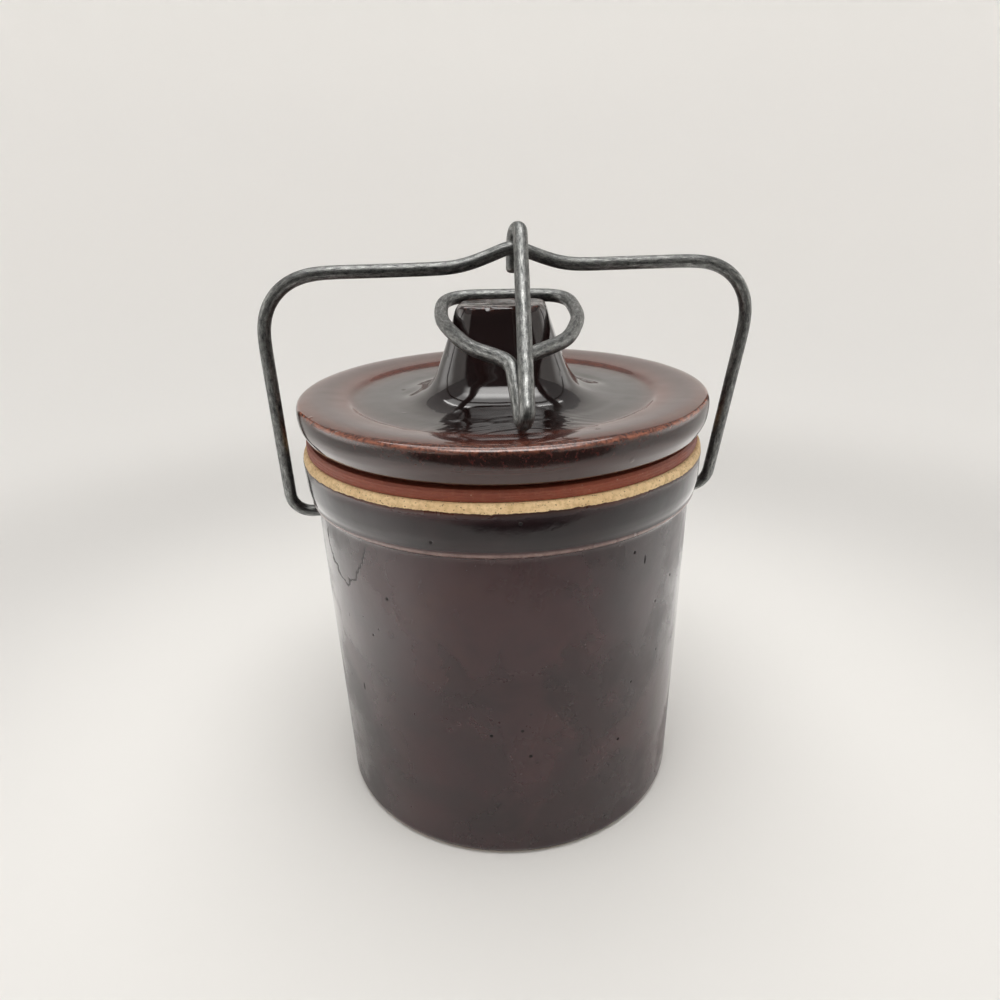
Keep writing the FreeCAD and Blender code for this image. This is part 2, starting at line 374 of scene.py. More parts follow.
def arc_points(a, b, c, n=9):
    """Circle arc through three (r, z) points."""
    a, b, c = map(lambda q: np.array(q, float), (a, b, c))
    d = 2 * (a[0] * (b[1] - c[1]) + b[0] * (c[1] - a[1]) + c[0] * (a[1] - b[1]))
    ux = ((a @ a) * (b[1] - c[1]) + (b @ b) * (c[1] - a[1]) + (c @ c) * (a[1] - b[1])) / d
    uy = ((a @ a) * (c[0] - b[0]) + (b @ b) * (a[0] - c[0]) + (c @ c) * (b[0] - a[0])) / d
    o = np.array([ux, uy])
    t0, t1 = math.atan2(*(a - o)[::-1]), math.atan2(*(c - o)[::-1])
    if t1 - t0 > math.pi:
        t1 -= 2 * math.pi
    if t0 - t1 > math.pi:
        t1 += 2 * math.pi
    rr = np.linalg.norm(a - o)
    return [(o[0] + rr * math.cos(t), o[1] + rr * math.sin(t)) for t in np.linspace(t0, t1, n)]


# ---- jar
def make_jar():
    pts = [(0.5, 0.75, 0), (36.5, 0.75, 1.2), (38.6, 0.0, 0.8), (44.1, 0.0, 1.0), (45.1, 1.6, 1.5), (45.35, 12, 60),
           (46.8, 79.6, 0)]
    lower = rounded_path(pts)
    collar = [(46.82, 80.2), (46.95, 80.65), (47.25, 81.0), (47.85, 81.5), (48.05, 82.1), (48.15, 82.9)]
    collar += [(48.5, 84.0)] + arc_points((48.75, 85.4), (48.9, 88.2), (48.95, 91.6), 8)
    collar += [(48.92, 92.2), (48.8, 92.65), (48.5, 93.0), (48.0, 93.18), (47.4, 93.2), (46.5, 93.2), (42.3, 93.2), (41.75, 93.0), (41.42, 92.4)]
    inner = rounded_path([(41.4, 92.0, 0), (40.6, 50, 200), (39.65, 12.0, 20), (39.5, 6.3, 4.5), (30, 6.2, 0), (0.5, 6.2, 0)])
    path = np.vstack([lower, np.array(collar), inner])

    def step(q):
        r, z = q
        if r > 44.5 and 90.6 < z < 93.3:
            return 0.3
        if r > 44 and 78 < z < 92:
            return 0.5
        if r > 43 and z < 3:
            return 0.45
        if r > 44:
            return 1.05
        if z > 90:
            return 0.7
        return 2.6
    path = resample(path, step)
    P = round_piece(path)
    r = np.hypot(P[..., 0], P[..., 1])
    z = P[..., 2]
    outside = ((r > 43.9) & (z > 0.05)).astype(float)
    unit = np.stack([np.cos(PHI), np.sin(PHI), 0 * PHI], -1)[None]
    # distance above which the clay is bare, round the rim, and under which it is bare at the foot
    ring = unit[0] * 48.8
    wander = fbm(ring, 9.0, 3, 3) * 0.28 + vnoise(ring, 1.3, 8) * 0.10
    rag = vnoise(ring, 0.7, 21) * 0.07
    edge_z = 91.50 + wander + rag + 0.12 * np.sin(PHI - 0.6)
    top = edge_z[None] - z
    foot_z = 0.12 + fbm(ring, 7.0, 31, 3) * 0.12
    foot = z - foot_z[None]
    edge = np.where(outside > 0, np.minimum(top, foot), -5.0)
    inside = (r < 41.9) & (z > 3)
    lip = (92.35 + 0.25 * fbm(ring, 8.0, 5, 2))[None] - z
    edge = np.where(inside, lip, edge)
    # a slow out-of-round, the glaze's waviness, and the glaze standing proud of the bare clay
    slow = 0.10 * fbm(P, 34.0, 1, 2) - 0.06
    wave = 0.035 * fbm(P * [1, 1, 0.55], 7.0, 2, 3)
    skin = -0.10 * (1 - smooth(-0.12, 0.16, edge))
    roll = 0.05 * np.exp(-((edge - 0.35) / 0.28) ** 2)
    d = outside * (slow * smooth(0.5, 6, z) * (1 - smooth(90, 92, z)) + wave * smooth(0.5, 4, z) + skin + roll)
    bead = np.exp(-((z - 81.75) / 0.42) ** 2) * outside
    d = np.minimum(d, 0.12) + bead * (0.16 + 0.05 * fbm(ring, 11.0, 37, 2)[None])
    P = P + unit * d[..., None]
    # blind sockets for the bail
    for sx in (1, -1):
        side = P[..., 0] * sx > 40
        q = np.hypot(P[..., 1], P[..., 2] - 75.5)
        hole = (1 - smooth(1.62, 1.95, q)) * side * (r > 44)
        lump = 0.25 * np.exp(-((q - 2.6) / 0.7) ** 2) * side * (r > 44)
        P[..., 0] -= sx * hole * 4.0
        P[..., 0] += sx * lump * 0.6
    # the step mask carries a painted highlight over thin glaze, the collar mask carries painted shade
    return grid_object("crock_body", P, start=(0, 0, 0.75), end=(0, 0, 6.2),
                       attributes={"edge": edge, "step": np.exp(-((z - 81.70) / 0.40) ** 2) * outside,
                                   "collar_shade_band": smooth(82.1, 83.3, z) * (1 - smooth(88.6, 91.0, z)) * outside})


TILT = math.tan(math.radians(0.9))


# ---- sealing ring
def make_ring():
    pts = [(42.0, 93.22, 0), (47.85, 93.22, 0.3), (48.0, 94.0, 0.2), (47.95, 95.9, 0.3), (47.6, 96.48, 0.4), (42.2, 96.48, 0.4),
           (41.9, 96.0, 0.2), (41.9, 93.5, 0.3), (42.0, 93.22, 0)]
    path = rounded_path(pts)
    path = resample(path, lambda q: 0.16 if q[0] > 46.9 else 0.6)[:-1]
    P = round_piece(path)
    r = np.hypot(P[..., 0], P[..., 1])
    z = P[..., 2]
    unit = np.stack([np.cos(PHI), np.sin(PHI), 0 * PHI], -1)[None]
    out = smooth(47.1, 47.7, r)
    ridges = 0.045 * np.sin((z - 93.2) * 2 * math.pi / 0.82) * out
    bulge = 0.10 * np.sin(np.clip((z - 93.2) / 3.3, 0, 1) * math.pi) * out
    lumps = 0.10 * fbm(P, 16.0, 11, 3) * out
    P = P + unit * (ridges + bulge + lumps - 0.16 * out)[..., None]
    # squeezed a little at the front, where the lever bears on the lid
    P[..., 2] += TILT * P[..., 1] * smooth(93.3, 96.4, P[..., 2])
    P = np.concatenate([P, P[:1]], 0)
    ob = grid_object("seal", P)
    me = ob.data
    import bmesh
    bm = bmesh.new()
    bm.from_mesh(me)
    bmesh.ops.remove_doubles(bm, verts=bm.verts, dist=1e-7)
    bm.to_mesh(me)
    bm.free()
    me.polygons.foreach_set("use_smooth", np.ones(len(me.polygons), bool))
    return ob


# ---- lid and knob
LX = 0.45
KX, KY, KTURN = 0.75, -0.1, math.radians(-9.0)
SECTIONS = (
    (103.9, 46.5, 42.0, 18.5),
    (104.7, 41.3, 36.2, 15.2),
    (105.9, 36.9, 31.9, 12.4),
    (108.3, 32.8, 27.4, 9.4),
    (111.2, 30.2, 24.6, 7.6),
    (116.0, 26.6, 21.4, 6.2),
    (121.0, 23.2, 18.4, 5.2),
    (124.2, 21.2, 16.8, 4.7),
)


def section_radius(psi, w, d, r):
    """Distance from the centre to a rounded rectangle in direction psi."""
    hw, hd = w / 2, d / 2
    r = min(r, hw - 0.05, hd - 0.05)
    c, s = np.abs(np.cos(psi)), np.abs(np.sin(psi))
    flat = np.minimum(hw / np.maximum(c, 1e-9), hd / np.maximum(s, 1e-9))
    cx, cy = hw - r, hd - r
    b = c * cx + s * cy
    disc = np.maximum(b * b - (cx * cx + cy * cy - r * r), 0)
    arc = b + np.sqrt(disc)
    px, py = flat * c, flat * s
    return np.where((px > cx) & (py > cy), arc, flat)


def make_lid():
    # underside and rim as a turned path, from the hollow's centre outwards, up and over to the dish
    under = rounded_path([(0.5, 98.2, 0), (33.6, 98.2, 1.6), (35.2, 95.8, 1.0), (35.4, 92.3, 0.8), (40.4, 92.3, 0.5), (40.7, 96.5, 0.3),
                          (45.4, 96.5, 0.4), (46.2, 97.25, 0.4), (48.15, 97.62, 0.42), (48.75, 98.75, 0)])
    rim = [(48.85, 98.95), (49.02, 99.3), (49.33, 100.0), (49.54, 100.9), (49.66, 101.8), (49.72, 102.6), (49.72, 103.35),
           (49.62, 104.1), (49.42, 104.6), (49.08, 104.98), (48.6, 105.22), (47.9, 105.38), (46.8, 105.5), (45.5, 105.52), (43.0, 105.32),
           (40.8, 105.02), (39.0, 104.76), (38.0, 104.56), (37.3, 104.28), (36.75, 103.98), (36.1, 103.80), (34.8, 103.69),
           (32.0, 103.60), (30.0, 103.57)]
    rim = np.array(rim)
    s = np.r_[0, np.cumsum(np.linalg.norm(np.diff(rim, axis=0), axis=1))]
    rim = catmull(s, rim, np.linspace(0, s[-1], 260))
    path = np.vstack([under, rim])

    def step(q):
        r, z = q
        if r > 46.8 and z > 97.2:
            return 0.34
        if 34.5 < r < 39.5 and z > 102:
            return 0.4
        if z > 102:
            return 0.8
        return 1.5
    path = resample(path, step)
    A = round_piece(path, (LX, 0))
    n_turned = len(path)
    # knob rows: from the dish ring inwards and up; each column keeps its direction
    psi_world = np.arctan2(A[-1, :, 1] - KY, A[-1, :, 0] - KX)
    psi = psi_world - KTURN
    ring_r = np.hypot(A[-1, :, 0] - KX, A[-1, :, 1] - KY)
    radii = [ring_r, section_radius(psi, 51.0, 46.5, 20.5)]
    heights = [103.57, 103.60]
    for z, w, d, r in SECTIONS:
        radii.append(section_radius(psi, w, d, r))
        heights.append(z)
    # top edge and top face: worn, a little uneven, sagging towards the middle
    for z, inset in ((124.95, 0.22), (125.22, 0.62), (125.36, 1.15), (125.40, 1.8)):
        k = (125.4 - 121.0) / (124.2 - 121.0)
        radii.append(section_radius(psi, 20.75 - 2 * inset, 16.5 - 2 * inset, 4.6 - min(inset, 1.2)))
        heights.append(z)
    R = np.array(radii)
    H = np.repeat(np.array(heights)[:, None], COLS, 1)
    mean = R.mean(1)
    t = np.r_[0, np.cumsum(np.hypot(np.diff(mean), np.diff(np.array(heights))))]
    ts = []
    for k in range(len(t) - 1):
        gap = 0.5 if heights[k] < 106 else (0.6 if heights[k] < 124 else 0.16)
        n = max(1, int(round((t[k + 1] - t[k]) / gap)))
        ts += list(np.linspace(t[k], t[k + 1], n + 1)[1:])
    ts = np.array(ts)
    Rr = catmull(t, R, ts)
    Hh = catmull(t, H, ts)
    B = np.stack([KX + Rr * np.cos(psi_world)[None], KY + Rr * np.sin(psi_world)[None], Hh], -1)
    last = R[-1]
    C = []
    for k in (0.86, 0.7, 0.52, 0.34, 0.18, 0.06):
        C.append(np.stack([KX + last * k * np.cos(psi_world), KY + last * k * np.sin(psi_world), 125.40 - 0.22 * (1 - k ** 2) + 0 * psi], -1))
    P = np.concatenate([A, B, np.array(C)], 0)
    x, y, z = P[..., 0], P[..., 1], P[..., 2]
    rr = np.hypot(x - LX, y)
    top = (z > 102.9) & (np.arange(P.shape[0])[:, None] > n_turned * 0.3)
    is_knob = np.zeros(P.shape[:2])
    is_knob[n_turned:] = 1
    # glaze waviness over the upper side
    lift = 0.05 * fbm(P, 13.0, 41, 3) + 0.018 * fbm(P, 3.6, 42, 2)
    flat_top = top * (1 - smooth(106.5, 109, z))
    # thick glaze gathers in ripples in front of the knob
    fx, fy = x - KX, y - KY
    front = np.exp(-((fy + 30.5) / 6.2) ** 2) * (1 - smooth(11, 21, np.abs(fx + 1.5)))
    bend = 1.7 * vnoise(np.stack([fx, fy, 0 * fx], -1) / [9, 3.0, 1], 1.0, 51)
    ripple = np.sin((fy + 0.022 * fx ** 2) * 2 * math.pi / 3.1 + 1.8 * bend) * front
    lift = lift + 0.062 * ripple + 0.10 * front * vnoise(np.stack([fx, fy, 0 * fx], -1), (5.0, 1.4, 1.0), 52)
    # shallow thumb-sized dips beside the post's foot
    for cx, cy, sx_, sy_, rot, depth in ((-20.9, 4.5, 6.6, 2.7, 1.18, 0.30), (23.9, 10.0, 6.4, 2.7, -1.18, 0.30)):
        c, s_ = math.cos(rot), math.sin(rot)
        u = (x - cx) * c + (y - cy) * s_
        v = -(x - cx) * s_ + (y - cy) * c
        q = np.hypot(u / sx_, v / sy_)
        lift = lift - depth * (1 - smooth(0.0, 1.3, q))
    P[..., 2] += lift * flat_top
    # knob walls: soft hollows and lumps from the mould and the glaze
    unit = np.stack([x - KX, y - KY, 0 * x], -1)
    unit /= np.maximum(np.linalg.norm(unit, axis=-1, keepdims=True), 1e-6)
    wall = is_knob * smooth(104.5, 107.5, z) * (1 - smooth(124.6, 125.4, z) * 0.6)
    face = np.abs(np.sin(np.arctan2(y - KY, x - KX) - KTURN))
    bow = 0.30 * smooth(0.80, 1.0, face) + 0.10 * smooth(0.80, 1.0, np.sqrt(np.maximum(0, 1 - face ** 2)))
    lump = 0.10 * fbm(P, 11.0, 61, 2) + 0.008 * fbm(P, 2.4, 62, 2) + bow - 0.1
    P += unit * (wall * lump)[..., None]
    # the top edge: nicks and beads of glaze along the arris, most on the front
    arris = np.exp(-((z - 125.1) / 0.75) ** 2) * is_knob * (z > 121)
    bead = fbm(P, (1.7, 1.7, 1.2), 63, 2) * 0.22
    P += unit * (arris * np.minimum(bead, 0.12))[..., None]
    P[..., 2] += arris * np.minimum(bead * 0.6, 0.0)
    # rim: the same unevenness, kept inside the largest radius
    rimmask = ((rr > 46) & (z > 96.9)).astype(float) * (1 - is_knob)
    wob = 0.07 * fbm(P, 21.0, 71, 3) - 0.07
    unit0 = np.stack([np.cos(PHI), np.sin(PHI), 0 * PHI], -1)[None]
    P += unit0 * (rimmask * np.minimum(wob, 0))[..., None]
    # the front sits a little lower than the back
    tip = smooth(21.0, 33.0, rr)
    # where the glaze runs thin: on the convex edges; at the rim's arris the mask also carries a painted highlight
    arc_at = np.hypot(rr - 49.30, z - 104.75)
    thin_edge_and_highlight = (np.exp(-(arc_at / 0.62) ** 2) + 0.28 * np.exp(-((rr - 47.6) / 1.9) ** 2) * smooth(104.6, 105.2, z)) * (1 - is_knob)
    thin_ring = np.exp(-((rr - 37.9) / 3.3) ** 2) * smooth(103, 104, z) * (1 - is_knob)
    # the knob's top edge: thin glaze with a painted glint
    knob_edge_and_glint = arris
    # the rim's face: a painted dark reflection, with real speckle
    shade_and_speckle_band = smooth(48.6, 49.5, rr) * (1 - is_knob) * smooth(101.0, 102.6, z) * (1 - smooth(104.5, 104.9, z))
    inner = ((z < 98.6) & (rr < 46.9) & (np.arange(P.shape[0])[:, None] < n_turned * 0.6)).astype(float)
    seat = inner * smooth(40.0, 40.8, rr)
    P[..., 2] += TILT * P[..., 1] * tip
    ob = grid_object("lid_body", P, start=(LX, 0, 98.2), end=(KX, KY, 125.18),
                     attributes={"thin_edge_and_highlight": thin_edge_and_highlight, "thin_ring": thin_ring, "knob_edge_and_glint": knob_edge_and_glint,
                                 "shade_and_speckle_band": shade_and_speckle_band, "under": inner, "seat": seat, "post": is_knob * smooth(103.6, 106, z)})
    return ob


# ---- wires
def wire_object(name, corners, diameter, seed, sway=0.06, step=0.7, sides=24, keep=None, soften=None):
    path = rounded_path([(*p, r) for p, r in corners], 5.0)
    path = resample(path, step)
    n = len(path)
    s = np.r_[0, np.cumsum(np.linalg.norm(np.diff(path, axis=0), axis=1))]
    if soften is not None:
        weight, rounds = soften(path)[:, None], 48
        for _ in range(rounds):
            move = np.zeros_like(path)
            move[1:-1] = 0.25 * (path[2:] + path[:-2] - 2 * path[1:-1])
            path = path + move * weight
    # hand-bent: the wire wanders a little off its line
    tri = np.stack([s, 0 * s, 0 * s], -1)
    off = np.stack([fbm(tri + [0, 9 * k, 0], 26.0, seed + k, 2) for k in range(3)], -1) * sway
    fade = smooth(0, 12, s) * smooth(0, 12, s[-1] - s)
    if keep is not None:
        fade = fade * keep(path)
    path = path + off * fade[:, None]
    tan = np.gradient(path, axis=0)
    tan /= np.linalg.norm(tan, axis=1, keepdims=True)
    nrm = np.zeros_like(path)
    v = np.cross(tan[0], [0.3, 0.2, 1.0])
    nrm[0] = v / np.linalg.norm(v)
    for k in range(1, n):
        v = nrm[k - 1] - tan[k] * (nrm[k - 1] @ tan[k])
        nrm[k] = v / np.linalg.norm(v)
    bi = np.cross(tan, nrm)
    th = np.linspace(0, 2 * math.pi, sides, endpoint=False)
    # small dings; the curvature along the wire is worked out but not used
    curv = np.zeros(n)
    curv[1:-1] = np.linalg.norm(tan[2:] - tan[:-2], axis=1) / np.maximum(s[2:] - s[:-2], 1e-6)
    base = diameter / 2
    ring = np.cos(th)[None, :, None] * nrm[:, None] + np.sin(th)[None, :, None] * bi[:, None]
    surf = path[:, None] + ring * base
    rad = base * (1 - 0.012 + 0.010 * fbm(surf, 5.0, seed + 9, 2) - 0.02 * np.maximum(0, fbm(surf, 2.2, seed + 12, 2) - 0.35))
    P = path[:, None] + ring * rad[..., None]
    wc = np.stack([np.repeat(s[:, None], sides, 1), np.cos(th)[None] * base + 0 * s[:, None], np.sin(th)[None] * base + 0 * s[:, None]], -1)
    # sheared ends with a turned edge
    def cap(row, direction, w):
        c = row.mean(0)
        out_rows, out_w = [], []
        for k, adv in ((0.975, 0.34), (0.90, 0.70), (0.75, 0.98), (0.45, 1.17)):
            tilt = 0.10 * (row - c) @ nrm[0]
            out_rows.append(c + (row - c) * k + direction * adv + direction * (tilt * 0.5)[:, None] * k)
            ww = w.copy()
            out_w.append(ww)
        return out_rows, out_w, c + direction * 1.24
    a_rows, a_w, a_tip = cap(P[0] + tan[0] * 0.5, -tan[0], wc[0])
    b_rows, b_w, b_tip = cap(P[-1] - tan[-1] * 0.5, tan[-1], wc[-1])
    P[0] += tan[0] * 0.5
    P[-1] -= tan[-1] * 0.5
    P = np.concatenate([np.array(a_rows[::-1]), P, np.array(b_rows)], 0)
    W = np.concatenate([np.array(a_w[::-1]), wc, np.array(b_w)], 0)
    cut = np.zeros(P.shape[:2])
    cut[:4] = 1
    cut[-4:] = 1
    return grid_object(name, P, start=a_tip, end=b_tip, attributes={"along": W * MM, "cut": cut})


LEAN = math.radians(7.5)


def bail_point(u, w):
    return (u, -w * math.sin(LEAN), 75.5 + w * math.cos(LEAN))


def make_bail():
    corners = [(bail_point(-42.7, 0), 0), (bail_point(-53.8, 0), 5), (bail_point(-53.8, 58.95), 13.5), (bail_point(-9, 58.85), 16),
               (bail_point(2.8, 63.25), 6.5), (bail_point(14, 58.75), 16), (bail_point(60.4, 58.55), 13.5), (bail_point(54.6, 0), 5),
               (bail_point(42.7, 0), 0)]
    return wire_object("bail_wire", corners, 3.0, 5, sway=0.06,
                       soften=lambda p: 0.8 * smooth(86, 95, p[:, 2]) * smooth(2, 6, np.abs(p[:, 0] - 2.8)),
                       keep=lambda p: smooth(6, 16, np.abs(p[:, 0] - 2.8)))


def make_lever():
    peak = np.array(bail_point(2.8, 63.25 - 0.45))
    corners = [((3.1, peak[1] + 3.42, peak[2] - 4.9), 0), ((3.4, peak[1] + 3.42, peak[2] + 3.9), 3.2),
               ((4.15, peak[1] - 1.9, peak[2] + 3.9), 3.3), ((0.4, -42.9, 108.65), 1.78), ((-0.1, -40.15, 106.15), 1.78)]
    for x, y, r in ((-0.9, -30.9, 4.0), (-8.9, -23.7, 12.0), (-14.0, -6.0, 24.0), (-12.7, 11.7, 6.0), (18.6, 9.6, 4.8),
                    (18.1, -7.4, 16.0), (12.6, -21.6, 12.0), (2.5, -28.8, 0.0)):
        corners.append(((x, y, 125.6 + 0.2 * (y - 10.4)), r))
    return wire_object("lever_wire", corners, 3.25, 77, sway=0.05, step=0.6,
                       soften=lambda p: (1 - smooth(127.5, 129.5, p[:, 2])) * smooth(-33.0, -27.5, p[:, 1]),
                       keep=lambda p: 1 - smooth(126.5, 131, p[:, 2]))


jar, seal, lid, bail, lever = make_jar(), make_ring(), make_lid(), make_bail(), make_lever()


# ---------------------------------------------------------------- materials
def clay_nodes(m):
    """Bare buff stoneware: colour and height."""
    grit = m.noise(900, 4, 0.7)
    soft = m.noise(120, 3, 0.5)
    col = m.mix(m.remap(soft, 0.3, 0.7), (0.81, 0.60, 0.34), (0.71, 0.50, 0.265))
    specks = m.voronoi(1500)
    pick = m.noise(2600, 1, 0.5)
    dark = m.math("MULTIPLY", m.remap(specks, 0.16, 0.34, 1, 0), m.remap(pick, 0.46, 0.54))
    col = m.mix(m.math("MULTIPLY", dark, 0.8), col, (0.10, 0.055, 0.03))
    col = m.mix(m.remap(grit, 0.42, 0.66, 0.0, 0.55), col, (0.46, 0.29, 0.13))
    return col, grit, dark


def jar_material():
    m = Mat("jar_glaze_finish")
    edge = m.attr("edge")
    fine = m.noise(1300, 2, 0.6)
    edge = m.math("ADD", edge, m.math("MULTIPLY", m.math("SUBTRACT", fine, 0.5), 0.35))
    glazed = m.remap(edge, -0.05, 0.05)
    clay, grit, dark = clay_nodes(m)
    big = m.noise(26, 3, 0.55, dist=0.4)
    mid = m.noise(80, 5, 0.60, dist=0.6)
    small = m.noise(420, 4, 0.65)
    tone = m.math("ADD", m.math("MULTIPLY", big, 0.6), m.math("MULTIPLY", mid, 0.4))
    col = m.ramp(tone, [(0.38, (0.020, 0.0072, 0.0090)), (0.455, (0.028, 0.0098, 0.0120)), (0.50, (0.036, 0.0124, 0.0148)), (0.60, (0.042, 0.0143, 0.0162))])
    # iron-red bloom in places
    bloom = m.noise(48, 4, 0.6, vec=m.mapping(m.obj, loc=(3.1, 0.7, 1.9)))
    col = m.mix(m.remap(bloom, 0.55, 0.78, 0, 0.40), col, (0.058, 0.019, 0.013))
    # the glaze thins to red-brown next to the bare rim
    near = m.remap(edge, 0.0, 1.25, 1, 0)
    col = m.mix(m.math("MULTIPLY", near, 0.85), col, (0.075, 0.022, 0.010))
    patch = m.noise(34, 4, 0.52, vec=m.mapping(m.obj, loc=(5.3, 2.2, 0.9)), dist=0.35)
    col = m.mix(m.remap(patch, 0.50, 0.60, 0.0, 0.52), col, (0.009, 0.0038, 0.0050))
    # a drip's outline, high on the left
    x = m.xyz()
    turn = m.math("ARCTAN2", x[1], x[0])
    u = m.math("DIVIDE", m.math("ADD", turn, math.radians(146.2)), math.radians(10.8))
    w = m.math("DIVIDE", m.math("SUBTRACT", x[2], 0.0790), 0.0112)
    w = m.math("SUBTRACT", w, m.math("MULTIPLY", u, 0.28))
    ragged = m.math("MULTIPLY", m.math("SUBTRACT", m.noise(240, 4, 0.62), 0.5), 0.52)
    ring = m.math("SQRT", m.math("ADD", m.math("POWER", m.math("ABSOLUTE", u), 1.7), m.math("POWER", m.math("ABSOLUTE", w), 1.7)))
    ring = m.math("ADD", ring, ragged)
    line = m.remap(m.math("ABSOLUTE", m.math("SUBTRACT", ring, 1.0)), 0.012, 0.058, 1, 0)
    low = m.remap(x[2], 0.0805, 0.0780)
    line = m.math("MULTIPLY", line, low)
    within = m.math("MULTIPLY", m.remap(ring, 1.0, 0.9), low)
    col = m.mix(m.math("MULTIPLY", within, 0.35), col, (0.012, 0.0060, 0.0065))
    col = m.mix(m.math("MULTIPLY", line, 0.8), col, (0.004, 0.0025, 0.0025))
    # scuffs: short slanting marks, dark and pale
    sv = m.mapping(m.obj, rot=(0.5, 0.3, 0.4), scale=(1, 1, 0.30))
    scuff = m.math("MULTIPLY", m.remap(m.voronoi(210, vec=sv), 0.05, 0.10, 1, 0), m.remap(m.noise(33, 2, 0.5, vec=m.mapping(m.obj, loc=(4, 4, 2))), 0.52, 0.60))
    col = m.mix(m.math("MULTIPLY", scuff, 0.8), col, (0.004, 0.003, 0.003))
    # pinholes
    cells = m.voronoi(260)
    lot = m.remap(m.noise(70, 2, 0.5, vec=m.mapping(m.obj, loc=(0.3, 5.1, 0.2))), 0.56, 0.66)
    pin = m.math("MULTIPLY", m.remap(cells, 0.07, 0.14, 1, 0), lot)
    col = m.mix(pin, col, (0.004, 0.0025, 0.002))
    # painted highlight: a pale line over the step, where the glaze pulls thin and the ridge catches the light; above it
    # the collar band is darkened as painted shade
    step = m.attr("step")
    collar_shade_band = m.attr("collar_shade_band")
    col = m.mix(m.math("MULTIPLY", collar_shade_band, m.remap(mid, 0.35, 0.62, 0.98, 0.74)), col, (0.0055, 0.0028, 0.0036))
    col = m.mix(m.math("MULTIPLY", step, m.remap(small, 0.30, 0.60, 0.60, 1.0)), col, (0.31, 0.205, 0.18))
    col = m.mix(glazed, clay, col)
    smudge = m.noise(60, 5, 0.62, vec=m.mapping(m.obj, loc=(1.7, 0.2, 4.4), scale=(1, 1, 0.8)))
    rough_g = m.remap(smudge, 0.40, 0.60, 0.10, 0.30)
    rough_g = m.math("ADD", rough_g, m.math("MULTIPLY", small, 0.05))
    # dull patches, where the glaze gives back less light, and matt marks
    rough_g = m.math("ADD", rough_g, m.remap(patch, 0.50, 0.60, 0.0, 0.05))
    rough_g = m.math("ADD", rough_g, m.math("MULTIPLY", within, 0.05))
    rough_g = m.lerp(collar_shade_band, rough_g, 0.10)
    marks = m.math("MAXIMUM", m.math("MAXIMUM", pin, scuff), m.math("MULTIPLY", line, 0.6))
    rough_g = m.math("MAXIMUM", rough_g, m.math("MULTIPLY", marks, 0.95))
    rough = m.lerp(glazed, 0.88, rough_g)
    h = m.math("ADD", m.math("MULTIPLY", m.noise(230, 3, 0.5), 0.55), m.math("MULTIPLY", small, 0.25))
    h = m.math("SUBTRACT", h, m.math("MULTIPLY", pin, 0.9))
    h = m.math("SUBTRACT", h, m.math("MULTIPLY", line, 0.5))
    hc = m.math("SUBTRACT", m.math("MULTIPLY", grit, 0.9), m.math("MULTIPLY", dark, 0.6))
    height = m.lerp(glazed, hc, h)
    n = m.bump(height, 0.00012, 0.55)
    return m.set(Base_Color=col, Roughness=rough, Normal=n, IOR=1.56)


